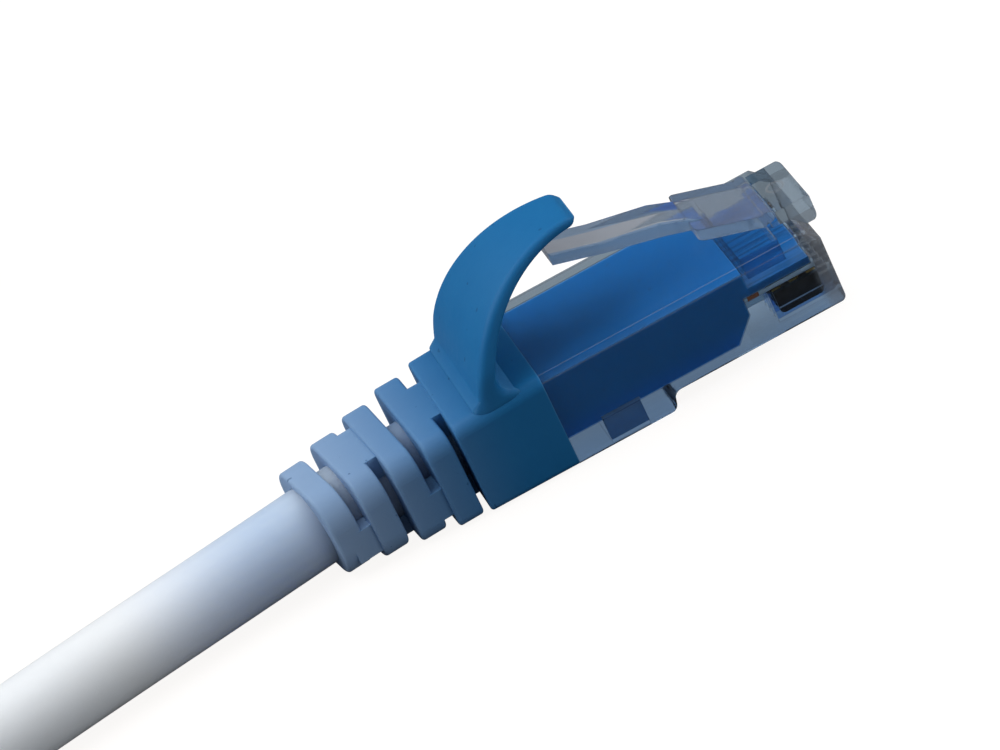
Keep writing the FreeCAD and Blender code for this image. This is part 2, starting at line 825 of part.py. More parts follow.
def make_ring(prefix, number):
    share = ring_share(number)
    back = size("ring_first_back") + number * size("ring_pitch") + size("ring_length")
    body = new_body(f"{prefix}Ring{number + 1}")
    sketch = rounded_block(
        body, "YZ_Plane", f"{prefix}RingSection{number + 1}",
        between("ring_first_width", "ring_last_width", share), 0,
        between("ring_first_height", "ring_last_height", share),
        between("ring_first_bottom_round", "ring_last_bottom_round", share),
        between("ring_first_top_round", "ring_last_top_round", share),
        ring_offset(back))
    barrel = pad(body, sketch, "ring_length", symmetric=False)
    ends = []
    for index, face in enumerate(barrel.Shape.Faces, start=1):
        if isinstance(face.Surface, Part.Plane) and abs(face.Surface.Axis.x) > 0.9:
            ends.append(f"Face{index}")
    rim = body.newObject("PartDesign::Fillet", f"{prefix}RingRim{number + 1}")
    rim.Base = (barrel, ends)
    rim.Radius = size("ring_edge_round")
    rim.setExpression("Radius", on_sheet("ring_edge_round"))
    document.recompute()
    return body


def make_bridges(prefix, number):
    """The bridges from the piece before this ring to the ring: above and below, or at the sides."""
    share = ring_share(number)
    front_back = size("ring_first_back") + number * size("ring_pitch")
    gap = size("ring_pitch") - size("ring_length")
    overlap = size("ring_length") / 2
    length = gap + 2 * overlap
    middle_back = front_back - gap / 2
    width = between("ring_first_width", "ring_last_width", share)
    foot = 0.0
    top = between("ring_first_height", "ring_last_height", share)
    if number % 2 == 0:
        width = size("bridge_width")
    else:
        foot = size("bridge_side_foot_level")
        top = size("bridge_side_top_level")
    block = document.addObject("Part::Box", f"{prefix}Bridge{number + 1}")
    block.Length = length
    block.Width = width
    block.Height = top - foot
    turn = Rotation(Vector(0, 0, 1), math.degrees(tail_turn(middle_back)))
    middle = Vector(-middle_back, -tail_side(middle_back), foot)
    corner = turn.multVec(Vector(-length / 2, -width / 2, 0))
    block.Placement = Placement(middle + corner, turn)
    return block


def make_boot(prefix, place, bore):
    block = new_body(prefix + "BootBlock")
    front = rounded_block(block, "YZ_Plane", prefix + "BootFront", size("boot_width"), 0,
                          size("housing_height"), size("boot_bottom_round"),
                          size("boot_top_round"),
                          Placement(Vector(0, 0, -size("housing_length")), Rotation()))
    rear = rounded_block(block, "YZ_Plane", prefix + "BootRear", size("boot_width"), 0,
                         size("housing_height - boot_block_fall"), size("boot_bottom_round"),
                         size("boot_top_round"),
                         Placement(Vector(0, 0, -size("boot_block_rear_back")), Rotation()))
    loft = block.newObject("PartDesign::AdditiveLoft", prefix + "BootLoft")
    loft.Profile = front
    loft.Sections = [rear]
    loft.Ruled = True
    document.recompute()
    dress(block, "Fillet", "boot_edge_round",
          lambda middle, along: abs(middle.x + size("boot_block_rear_back")) < 0.01)

    core = new_body(prefix + "BootCore")
    side = outline(core, "XZ_Plane", prefix + "CoreSide",
                   [("-housing_length - cut_past" if back == "-housing_length" else back, level)
                    for back, level in core_side_corners("core_gap")])
    pad(core, side, "housing_width - 2 * side_wall - 2 * core_gap")
    hollow = outline(core, "XZ_Plane", prefix + "CoreHollow", block_corners(
        "-jacket_front_back - hollow_lap", "-guide_front_back",
        "hollow_floor_level", "hollow_roof_level"))
    pocket(core, hollow, "guide_width + 2 * hollow_side_gap")
    slot = outline(core, "XZ_Plane", prefix + "CoreSlot", block_corners(
        "-guide_front_back - cut_past", "0",
        "wire_level - wire_diameter / 2 - channel_gap",
        "wire_level + wire_diameter / 2 + channel_gap"))
    pocket(core, slot,
           "(contact_count - 1) * contact_pitch + wire_diameter + 2 * channel_side_gap")
    notch = outline(core, "XZ_Plane", prefix + "CoreNotch", block_corners(
        "-crimp_front_back - crimp_length - crimp_gap", "-crimp_front_back + crimp_gap",
        "0", "crimp_top_level + crimp_gap"))
    pocket(core, notch, "crimp_width + 2 * crimp_gap")

    solids = [block, core]
    for number in range(size_count("ring_count")):
        solids.append(make_ring(prefix, number))
        solids.append(make_bridges(prefix, number))
    socket = cross_cylinder(prefix + "HookSocket", "hook_axis_back",
                            "housing_height + hook_axis_rise",
                            "hook_knuckle_radius + hook_knuckle_gap", "boot_width + 2 * cut_past")
    cutter = document.addObject("Part::MultiFuse", prefix + "BootCutter")
    cutter.Shapes = [bore, socket]
    whole = fuse(prefix + "BootWhole", solids)
    keep(cut(prefix + "Boot", whole, cutter), prefix + "boot", place)


# Hook: an arched guard whose two arcs thin it towards the tip, narrower from shoulders to tip.

# Sketcher's numbers for an arc's start and end. An arc runs counter-clockwise, so the one on the
# -Y side starts at the tip.
ARC_ENDS = [1, 2]


def add_side_cut(sketch, sign):
    """Adds the loop that is cut away on one side of the hook, seen from above."""
    root = ("-hook_axis_back", f"{sign}hook_root_width / 2")
    waist = ("-hook_waist_back", f"{sign}hook_waist_width / 2")
    tip = ("-hook_tip_back", f"{sign}hook_tip_width / 2")
    far_tip = ("-hook_tip_back + cut_past", tip[1])
    far_corner = ("-hook_tip_back + cut_past", f"{sign}hook_root_width")
    far_root = ("-hook_axis_back", f"{sign}hook_root_width")
    ends = [Vector(size(across), size(up), 0) for across, up in (root, waist, tip)]
    root_end, tip_end = ARC_ENDS
    if sign == "-":
        ends.reverse()
        tip_end, root_end = ARC_ENDS
    first = sketch.addGeometry(Part.Arc(*ends), False)
    guide = sketch.addGeometry(Part.Point(ends[len(ends) // 2]), True)
    bind_point(sketch, guide, 1, *waist)
    sketch.addConstraint(Sketcher.Constraint("PointOnObject", guide, 1, first))
    bind_point(sketch, first, root_end, *root)
    bind_point(sketch, first, tip_end, *tip)
    corners = [tip, far_tip, far_corner, far_root, root]
    points = [Vector(size(across), size(up), 0) for across, up in corners]
    lines = [sketch.addGeometry(Part.LineSegment(begin, end), False)
             for begin, end in zip(points, points[1:])]
    sketch.addConstraint(Sketcher.Constraint("Coincident", first, tip_end, lines[0], 1))
    for line, following in zip(lines, lines[1:]):
        sketch.addConstraint(Sketcher.Constraint("Coincident", line, 2, following, 1))
    sketch.addConstraint(Sketcher.Constraint("Coincident", lines[-1], 2, first, root_end))
    for line, corner in zip(lines[:-1], corners[1:-1]):
        bind_point(sketch, line, 2, *corner)


def make_hook(prefix, place):
    body = new_body(prefix + "HookBody")
    sketch = new_sketch(body, "XZ_Plane", prefix + "HookSide")
    outer_centre = Vector(-size("hook_centre_back"), size("housing_height - hook_centre_drop"), 0)
    inner_centre = Vector(-size("hook_inner_centre_back"),
                          size("housing_height - hook_inner_centre_drop"), 0)
    outer_radius = size("hook_radius")
    inner_radius = size("hook_inner_radius")
    level = size("housing_height + hook_axis_rise")
    tip_back = size("hook_tip_back")

    def root_angle(centre, radius):
        return math.pi - math.asin((level - centre.y) / radius)

    def tip_angle(centre, radius):
        return math.acos((-tip_back - centre.x) / radius)

    arcs = []
    for centre, radius in ((outer_centre, outer_radius), (inner_centre, inner_radius)):
        circle = Part.Circle(centre, Vector(0, 0, 1), radius)
        arcs.append(Part.ArcOfCircle(circle, tip_angle(centre, radius), root_angle(centre, radius)))
    outer, inner = arcs
    sketch.addGeometry(outer, False)
    sketch.addGeometry(Part.LineSegment(outer.EndPoint, inner.EndPoint), False)
    sketch.addGeometry(inner, False)
    sketch.addGeometry(Part.LineSegment(inner.StartPoint, outer.StartPoint), False)
    sketch.addConstraint(Sketcher.Constraint("Coincident", 0, 2, 1, 1))
    sketch.addConstraint(Sketcher.Constraint("Coincident", 1, 2, 2, 2))
    sketch.addConstraint(Sketcher.Constraint("Coincident", 2, 1, 3, 1))
    sketch.addConstraint(Sketcher.Constraint("Coincident", 3, 2, 0, 1))
    for geometry, back, height, radius in (
            (0, "-hook_centre_back", "housing_height - hook_centre_drop", "hook_radius"),
            (2, "-hook_inner_centre_back", "housing_height - hook_inner_centre_drop",
             "hook_inner_radius")):
        bind_point(sketch, geometry, 3, back, height)
        datum = sketch.addConstraint(Sketcher.Constraint("Radius", geometry, size(radius)))
        sketch.setExpression(f"Constraints[{datum}]", on_sheet(radius))
    sketch.addConstraint(Sketcher.Constraint("DistanceY", -1, 1, 0, 2, level))
    sketch.addConstraint(Sketcher.Constraint("Horizontal", 1))
    sketch.addConstraint(Sketcher.Constraint("DistanceX", -1, 1, 0, 1, -tip_back))
    sketch.addConstraint(Sketcher.Constraint("Vertical", 3))
    pad(body, sketch, "hook_root_width")

    plan = new_sketch(body, "XY_Plane", prefix + "HookPlan")
    for sign in ("", "-"):
        add_side_cut(plan, sign)
    pocket(body, plan, "(housing_height - hook_centre_drop + hook_radius + cut_past) * 2")

    def tip_corner(middle, along):
        return abs(middle.x + tip_back) < 0.01 and abs(along.z) > 0.9

    dress(body, "Fillet", "hook_tip_round", tip_corner)

    def outer_edge(middle, along):
        reach = (Vector(middle.x, middle.z, 0) - outer_centre).Length
        return abs(reach - outer_radius) < 0.02

    dress(body, "Chamfer", "hook_edge_bevel", outer_edge)
    knuckle = cross_cylinder(prefix + "HookKnuckle", "hook_axis_back",
                             "housing_height + hook_axis_rise",
                             "hook_knuckle_radius", "hook_root_width")
    keep(fuse(prefix + "Hook", [body, knuckle]), prefix + "boot_hook", place)


# One end of the lead.

def make_end(prefix, place):
    bore_edges = jacket_edges(beyond=size("bore_past"))
    bore = solid(prefix + "Bore", tube(bore_edges, JACKET_RADIUS + size("jacket_gap")))
    make_housing(prefix, place, bore)
    make_lever(prefix, place)
    make_crimp_bar(prefix, place)
    for number in range(size_count("contact_count")):
        blade = make_contact(prefix, place, number)
        make_wire(prefix, place, number, blade)
    make_guide(prefix, place)
    make_separator(prefix, place)
    make_jacket_end(prefix, place)
    make_boot(prefix, place, bore)
    make_hook(prefix, place)


# The lead's coil: it spirals in on the upper layer and out on the lower one, clockwise from above.

def coil_stations(centre):
    """Points and headings of the coil, every half turn, and a quarter turn where it reverses."""
    radius = size("coil_radius")
    pitch = size("coil_pitch")
    low = JACKET_RADIUS
    high = low + size("coil_layer_height")
    halves = 2 * size_count("coil_turns_per_layer")
    angle = -math.pi / 2
    stations = []

    def add(slope=0.0):
        outward = Vector(math.cos(angle), math.sin(angle), 0)
        heading = Vector(math.sin(angle), -math.cos(angle), slope).normalize()
        stations.append((centre + outward * radius + Vector(0, 0, level), heading))

    level = high
    add()
    for _ in range(halves):
        angle -= math.pi
        radius -= pitch / 2
        add()
    angle -= math.pi / 2
    radius -= pitch / 4
    level = (high + low) / 2
    add(slope=-2 * (high - low) / (math.pi * radius))
    angle -= math.pi / 2
    radius += pitch / 4
    level = low
    add()
    for _ in range(halves):
        angle -= math.pi
        radius += pitch / 2
        add()
    return stations


def biarc(start, start_heading, end, end_heading):
    """Two arcs that leave one point along its heading and reach the next along its own."""
    chord = end - start
    both = start_heading + end_heading
    turn = 2 - 2 * start_heading.dot(end_heading)
    along = chord.dot(both)
    reach = (math.sqrt(along ** 2 + chord.dot(chord) * turn) - along) / turn
    first = start + start_heading * reach
    second = end - end_heading * reach
    joint = (first + second) * 0.5
    arcs = []
    for begin, corner, finish in ((start, first, joint), (joint, second, end)):
        half_turn = (corner - begin).getAngle(finish - corner) / 2
        weight = math.cos(half_turn)
        middle = (begin + corner * (2 * weight) + finish) * (1 / (2 + 2 * weight))
        arcs.append(Part.Arc(begin, middle, finish).toShape())
    return arcs


def least_gap(edges, diameter, step=1.5):
    """The least gap between the coil's tube and itself, on points along its middle."""
    points = []
    for edge in edges:
        points += edge.discretize(max(2, int(edge.Length / step)))[:-1]
    apart = int(math.pi * diameter / step)
    least = math.inf
    for index, point in enumerate(points):
        for other in points[index + apart:]:
            least = min(least, (other - point).Length)
    return least - diameter


def make_coil():
    """The coil's solid. Gives back its two ends with their headings, and its length."""
    centre = Vector(-size("coil_centre_behind"), size("coil_centre_side"), 0)
    lead_in = size("jacket_diameter")
    stations = coil_stations(centre)
    start, heading = stations[0]
    finish, finish_heading = stations[-1]
    coil_start = start - heading * lead_in
    coil_end = finish + finish_heading * lead_in
    edges = [Part.LineSegment(coil_start, start).toShape()]
    for (begin, begin_heading), (end, end_heading) in zip(stations, stations[1:]):
        edges += biarc(begin, begin_heading, end, end_heading)
    edges.append(Part.LineSegment(finish, coil_end).toShape())
    gap = least_gap(edges, size("jacket_diameter"))
    print("least gap of the coil to itself:", round(gap, 2))
    keep(solid("LeadCoil", tube(edges, JACKET_RADIUS)), "cable_coil", Placement())
    length = sum(edge.Length for edge in edges)
    return (coil_start, heading), (coil_end, finish_heading), length


def make_stretch(name, points):
    """A free stretch of the lead along the points. Gives back its length."""
    edges, radii = rounded_route(points)
    shape = tube(edges, JACKET_RADIUS)
    length = sum(edge.Length for edge in edges)
    print(name, "radii:", radii, "volume over section times length:",
          round(shape.Volume / (math.pi * JACKET_RADIUS ** 2 * length), 4))
    keep(solid(name + "Tube", shape), name, Placement())
    return length


def settling_run():
    """The run in which the cable comes down from the boot's tail to the surface."""
    points = jacket_points()
    slope = (points[2] - points[1]).normalize()
    return slope, (size("jacket_tail_level") - JACKET_RADIUS) / -slope.z


def far_end_place(coil_end, heading):
    """Where the far plug lies, and the corners of the stretch that reaches it."""
    slope, last_run = settling_run()
    corner = coil_end + heading * size("far_run_length")
    turn = math.radians(size("far_cable_turn"))
    tail_heading = math.atan2(-slope.y, -slope.x)
    plug_turn = Rotation(Vector(0, 0, 1), math.degrees(turn - tail_heading))
    joint = corner + plug_turn.multVec(-slope) * last_run
    place = Placement(joint - plug_turn.multVec(jacket_points()[2]), plug_turn)
    return place, [coil_end, corner, joint]


tail_back = size("ring_first_back + (ring_count - 1) * ring_pitch + ring_length")
tail_reach = tail_back + size("ring_last_width") / 2 * math.sin(tail_turn(tail_back))
near_place = Placement(Vector((tail_reach - size("latch_block_overhang")) / 2, 0, 0), Rotation())
make_end("", near_place)

(coil_start, coil_heading), (coil_end, end_heading), coil_length = make_coil()
slope, first_run = settling_run()
joint = near_place.multVec(jacket_points()[2])
near_length = make_stretch("cable_near", [
    joint,
    joint + slope * first_run,
    Vector(-size("lead_bend_behind"), -size("lead_bend_side"), JACKET_RADIUS),
    Vector(-size("lead_rise_behind"), -size("lead_rise_side"), JACKET_RADIUS),
    coil_start - coil_heading * size("coil_entry_run"),
    coil_start,
])
far_place, far_points = far_end_place(coil_end, end_heading)
far_length = make_stretch("cable_far", far_points)
make_end("far_", far_place)

for item in document.Objects:
    if "Invalid" in item.State or "Error" in item.State:
        raise ValueError(f"{item.Label} failed: {item.State}")
os.makedirs("parts", exist_ok=True)
for node in nodes:
    if node.Shape.isNull() or not node.Shape.isValid():
        raise ValueError(node.Label + " has no valid shape")
    node.Shape.exportStep(f"parts/{node.Label}.step")
print("near plug's nose at", near_place.Base)
print("far plug's nose at", far_place.Base, "turned", math.degrees(far_place.Rotation.Angle))
print(len(nodes), "parts, length of the lead outside the boots:",
      round(near_length + coil_length + far_length, 1))
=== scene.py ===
import math

import bmesh
import bpy
from mathutils import Matrix, Vector


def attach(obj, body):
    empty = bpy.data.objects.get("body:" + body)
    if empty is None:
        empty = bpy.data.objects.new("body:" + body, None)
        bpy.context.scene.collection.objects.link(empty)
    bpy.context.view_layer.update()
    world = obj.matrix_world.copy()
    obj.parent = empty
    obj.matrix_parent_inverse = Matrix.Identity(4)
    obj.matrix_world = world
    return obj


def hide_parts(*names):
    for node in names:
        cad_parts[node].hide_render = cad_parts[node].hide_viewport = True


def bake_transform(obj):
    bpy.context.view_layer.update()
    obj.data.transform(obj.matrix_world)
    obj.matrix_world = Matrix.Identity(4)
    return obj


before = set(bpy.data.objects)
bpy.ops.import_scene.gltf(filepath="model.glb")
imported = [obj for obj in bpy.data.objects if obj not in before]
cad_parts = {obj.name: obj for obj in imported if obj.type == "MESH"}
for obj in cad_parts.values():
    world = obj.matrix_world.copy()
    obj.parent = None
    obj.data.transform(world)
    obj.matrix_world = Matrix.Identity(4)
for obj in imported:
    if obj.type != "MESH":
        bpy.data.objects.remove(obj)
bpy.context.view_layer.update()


# Camera. A long lens stands well back from the near plug, as for a catalogue picture.
# Its place and directions come from a fit of the plug's standard sizes to the photograph.

MM = 0.001
CAMERA_LENS = 203.98
SENSOR_WIDTH = 36.0
CAMERA_PLACE = Vector((-33.278, -341.285, 218.228))
CAMERA_RIGHT = Vector((0.87640, -0.30635, -0.37157))
CAMERA_FORWARD = Vector((0.07302, 0.84718, -0.52627))
camera_data = bpy.data.cameras.new("catalogue_camera")
camera_data.sensor_width = SENSOR_WIDTH
camera_data.lens = CAMERA_LENS
camera_data.clip_start = 0.02
camera_data.clip_end = 20.0
camera = bpy.data.objects.new("catalogue_camera", camera_data)
bpy.context.scene.collection.objects.link(camera)
camera_right = CAMERA_RIGHT.normalized()
camera_back = -(CAMERA_FORWARD - camera_right * CAMERA_FORWARD.dot(camera_right)).normalized()
camera_up = camera_back.cross(camera_right)
camera_turn = Matrix((camera_right, camera_up, camera_back)).transposed().to_4x4()
camera.matrix_world = Matrix.Translation(CAMERA_PLACE * MM) @ camera_turn
bpy.context.scene.camera = camera


# Cable. One round lead with a PVC jacket runs from the near boot, along the surface and up on to
# a neat coil of a little over four turns in two layers, and from the coil's foot to the far boot.

JACKET_DIAMETER = 6.1
NEAR_EXIT = (-18.564, -0.773, 3.3)
FAR_EXIT = (-71.851, 63.281, 3.3)
COIL_CENTRE = (-94.0, 26.5)
COIL_RADIUS = 36.5
COIL_PITCH = 6.6
COIL_LAYER_HEIGHT = 6.6
COIL_LOWER = JACKET_DIAMETER / 2
COIL_UPPER = COIL_LOWER + COIL_LAYER_HEIGHT
COIL_START_SIDE = COIL_CENTRE[1] - COIL_RADIUS
COIL_END_SIDE = COIL_CENTRE[1] + COIL_RADIUS
LEAD_IN_PLACE = COIL_CENTRE[0] + 6.1
ENTRY_RUN = 15.0
FAR_RUN = 8.0
TURN_CORNERS = 12
SPIRAL_TURNS = 2
CROSSING_TURN = 0.5
CROSSING_INSET = COIL_PITCH / 4


def coil_corners():
    """Corners of the coil, in on the upper layer and out on the lower one, clockwise from above."""
    outside = 1 / math.cos(math.pi / TURN_CORNERS)
    inner = COIL_RADIUS - COIL_PITCH * SPIRAL_TURNS
    turns = 2 * SPIRAL_TURNS + CROSSING_TURN
    corners = []
    for step in range(1, round(turns * TURN_CORNERS)):
        turn = step / TURN_CORNERS
        past = turn - SPIRAL_TURNS
        if past <= 0:
            radius = COIL_RADIUS - COIL_PITCH * turn
            level = COIL_UPPER
        elif past < CROSSING_TURN:
            share = past / CROSSING_TURN
            radius = inner - CROSSING_INSET * math.sin(math.pi * share)
            level = COIL_UPPER - COIL_LAYER_HEIGHT * share
        else:
            radius = inner + COIL_PITCH * (past - CROSSING_TURN)
            level = COIL_LOWER
        angle = -math.pi / 2 - 2 * math.pi * turn
        reach = radius * outside
        corners.append((COIL_CENTRE[0] + reach * math.cos(angle),
                        COIL_CENTRE[1] + reach * math.sin(angle), level))
    return corners


route = [
    NEAR_EXIT,
    (-26.55, -1.815, COIL_LOWER),
    (-40.3, -4.1, COIL_LOWER),
    (-55.6, -7.1, COIL_LOWER),
    (LEAD_IN_PLACE + ENTRY_RUN, COIL_START_SIDE, COIL_UPPER),
    (LEAD_IN_PLACE, COIL_START_SIDE, COIL_UPPER),
    (COIL_CENTRE[0], COIL_START_SIDE, COIL_UPPER),
]
route += coil_corners()
route += [
    (COIL_CENTRE[0], COIL_END_SIDE, COIL_LOWER),
    (LEAD_IN_PLACE, COIL_END_SIDE, COIL_LOWER),
    (LEAD_IN_PLACE + FAR_RUN, COIL_END_SIDE, COIL_LOWER),
    FAR_EXIT,
]
lead_data = bpy.data.curves.new("patch_lead", "CURVE")
lead_data.dimensions = "3D"
lead_data.bevel_depth = 1.0
lead_data.bevel_resolution = 8
lead_data.resolution_u = 10
lead_data.use_fill_caps = True
spline = lead_data.splines.new("NURBS")
spline.points.add(len(route) - 1)
for point, corner in zip(spline.points, route):
    point.co = [coordinate * MM for coordinate in corner] + [1.0]
    point.radius = JACKET_DIAMETER / 2 * MM
spline.order_u = 3
spline.use_endpoint_u = True
lead = bpy.data.objects.new("patch_lead", lead_data)
bpy.context.scene.collection.objects.link(lead)
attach(lead, "lead")
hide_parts("cable_near", "cable_coil", "cable_far")


# Jacket. It is flexible PVC with a satin skin, drawn over the four twisted pairs. It is nearly as
# deep a blue as the boot where the boot's first rings hold it, and pales behind them. A turn of
# the coil that passes beside or above the rings is pale too.


class Channel:
    """An output of a shader node. Sums and products of channels add Math nodes."""

    def __init__(self, surface, link):
        self.surface = surface
        self.link = link

    def join(self, operation, first, second):
        return self.surface.node("ShaderNodeMath", {"operation": operation}, {0: first, 1: second})

    def __add__(self, other):
        return self.join("ADD", self, other)

    __radd__ = __add__

    def __sub__(self, other):
        return self.join("SUBTRACT", self, other)

    def __rsub__(self, other):
        return self.join("SUBTRACT", other, self)

    def __mul__(self, other):
        return self.join("MULTIPLY", self, other)

    __rmul__ = __mul__

    def __abs__(self):
        return self.join("ABSOLUTE", self, 0.0)

    def __gt__(self, other):
        return self.join("GREATER_THAN", self, other)

    def __lt__(self, other):
        return self.join("LESS_THAN", self, other)


class Surface:
    """The nodes of a material or of the world."""

    def __init__(self, owner):
        owner.use_nodes = True
        self.tree = owner.node_tree

    def put(self, socket, value):
        if isinstance(value, Channel):
            self.tree.links.new(value.link, socket)
        else:
            socket.default_value = value

    def node(self, kind, settings, inputs, out=0):
        """Any node: its settings come first, then the values or links of its sockets."""
        node = self.tree.nodes.new(kind)
        for name, value in settings.items():
            setattr(node, name, value)
        for name, value in inputs.items():
            self.put(node.inputs[name], value)
        return Channel(self, node.outputs[out])

    def by_ray(self, camera, through, mirrored, other):
        """One level for what the camera sees itself, one for what it sees through clear plastic, one
        for what it sees mirrored, and one for the light that falls on the pieces."""
        ray = {name: self.node("ShaderNodeLightPath", {}, {}, name) for name in (
            "Is Camera Ray", "Is Transmission Ray", "Is Glossy Ray", "Diffuse Depth")}
        unscattered = ray["Diffuse Depth"] < 0.5
        passed = ray["Is Transmission Ray"] * (through - other)
        only_mirrored = ray["Is Glossy Ray"] * (1 - ray["Is Transmission Ray"])
        seen = ray["Is Camera Ray"] * (camera - other) + passed + only_mirrored * (mirrored - other)
        return other + unscattered * seen


class Finish(Surface):
    """A material, put together node by node round its Principled shader."""

    def __init__(self, name, **settings):
        self.material = bpy.data.materials.new(name)
        super().__init__(self.material)
        self.shader = self.tree.nodes["Principled BSDF"]
        self.set(**settings)

    def set(self, **settings):
        """Sets or links the shader's sockets. Underlines in their names stand for spaces."""
        for name, value in settings.items():
            self.put(self.shader.inputs[name.replace("_", " ")], value)

    def place(self):
        """The place on the surface in the piece's own metres, which moves with the piece."""
        return self.node("ShaderNodeTexCoord", {}, {}, "Object")

    def noise(self, size, detail=2.0, place=None):
        """Cloudy noise from 0 to 1, with features of about this many millimetres."""
        return self.node("ShaderNodeTexNoise", {}, {
            "Vector": place or self.place(), "Scale": 1 / (size * MM), "Detail": detail})

    def step(self, value, low, high):
        """0 where the value is below low, 1 where it is above high, and smooth between them."""
        return self.node("ShaderNodeMapRange", {"interpolation_type": "SMOOTHSTEP"},
                         {"Value": value, "From Min": low, "From Max": high})

    def either(self, first, second):
        """The larger of two values."""
        return self.node("ShaderNodeMath", {"operation": "MAXIMUM"}, {0: first, 1: second})

    def agreement(self, first, second):
        """The dot product of two directions."""
        return self.node("ShaderNodeVectorMath", {"operation": "DOT_PRODUCT"},
                         {0: first, 1: second}, "Value")

    def blend(self, share, first, second):
        """A colour between two."""
        return self.node("ShaderNodeMix", {"data_type": "RGBA"},
                         {"Factor": share, 6: first, 7: second}, 2)

    def facing(self):
        """The direction that the surface faces, without its bumps."""
        return self.node("ShaderNodeNewGeometry", {}, {}, "True Normal")

    def edges(self, width):
        """1 within about this many millimetres of the piece's sharp edges, 0 elsewhere."""
        rounded = self.node("ShaderNodeBevel", {"samples": 6}, {"Radius": width * MM})
        return self.step(1 - self.agreement(rounded, self.facing()), 0.02, 0.14)

    def relief(self, height, depth):
        """Bumps of this depth in millimetres, set as the shader's normal."""
        self.set(Normal=self.node("ShaderNodeBump", {}, {
            "Height": height, "Distance": depth * MM, "Strength": 1.0}))

    def dress(self, *pieces):
        for piece in pieces:
            piece.data.materials.clear()
            piece.data.materials.append(self.material)


def srgb(red, green, blue):
    """A colour as linear light, from 0 to 255 as on a screen."""
    linear = []
    for value in (red, green, blue):
        share = value / 255
        linear.append(share / 12.92 if share <= 0.04045 else ((share + 0.055) / 1.055) ** 2.4)
    return (*linear, 1.0)


def both_ends(*names):
    """These nodes of the near plug and of the far one."""
    return [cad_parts[prefix + name] for prefix in ("", "far_") for name in names]


# Each plug's nose on the surface, in millimetres, and its turn about the vertical.
PLUGS = {"": ((20.336, 0.0), 0.0), "far_": ((-33.053, 60.368), math.radians(-5.432))}
BACKWARD = (1, 0, 0)
SIDEWAYS = (0, 1, 0)
UPWARD = (0, 0, 1)


def plug_point(prefix, back, side, level):
    """A point that is given behind the nose, to the side and above the surface, in metres."""
    nose, turn = PLUGS[prefix]
    return Vector((nose[0] - back * math.cos(turn) - side * math.sin(turn),
                   nose[1] - back * math.sin(turn) + side * math.cos(turn), level)) * MM


def plug_axis(prefix, direction):
    """One of a plug's own directions, such as BACKWARD, as it lies in the frame."""
    return (plug_point(prefix, *direction) - plug_point(prefix, 0, 0, 0)) / MM


def along(finish, prefix, direction):
    """How many millimetres a place lies from the plug's nose in a direction of the plug."""
    from_nose = finish.node("ShaderNodeVectorMath", {"operation": "SUBTRACT"},
                            {0: finish.place(), 1: plug_point(prefix, 0, 0, 0)})
    return 1 / MM * finish.agreement(from_nose, plug_axis(prefix, direction))


FADE_START = 25.0
FADE_END = 43.0
FADE_OUT = 58.0
BESIDE_START = 4.0
BESIDE_END = 12.0
LIFTED_START = 6.3
LIFTED_END = 8.0
JACKET_DEEP = srgb(56, 108, 160)
JACKET_PALE = srgb(186, 205, 230)
JACKET_PALEST = srgb(236, 241, 249)
jacket = Finish("pale_blue_jacket", Specular_IOR_Level=0.3, Subsurface_Weight=0.8,
                Subsurface_Radius=(1.0, 1.0, 1.0), Subsurface_Scale=4 * MM)
pale = 1.0
palest = 1.0
for prefix in PLUGS:
    back = along(jacket, prefix, BACKWARD)
    beside = jacket.step(abs(along(jacket, prefix, SIDEWAYS)), BESIDE_START, BESIDE_END)
    lifted = jacket.step(along(jacket, prefix, UPWARD), LIFTED_START, LIFTED_END)
    elsewhere = jacket.either(beside, lifted)
    pale = pale * jacket.either(jacket.step(back, FADE_START, FADE_END), elsewhere)
    palest = palest * jacket.either(jacket.step(back, FADE_END, FADE_OUT), elsewhere)
skin = jacket.blend(pale * (0.9 + 0.1 * jacket.noise(9.0)), JACKET_DEEP, JACKET_PALE)
jacket.set(
    Base_Color=jacket.blend(palest, skin, JACKET_PALEST),
    Roughness=0.4 + 0.12 * jacket.noise(1.2))
jacket.relief(jacket.noise(0.25, detail=3.0) + 6 * jacket.noise(5.0, detail=0.0), depth=0.012)
jacket.dress(lead, *both_ends("jacket_end"))
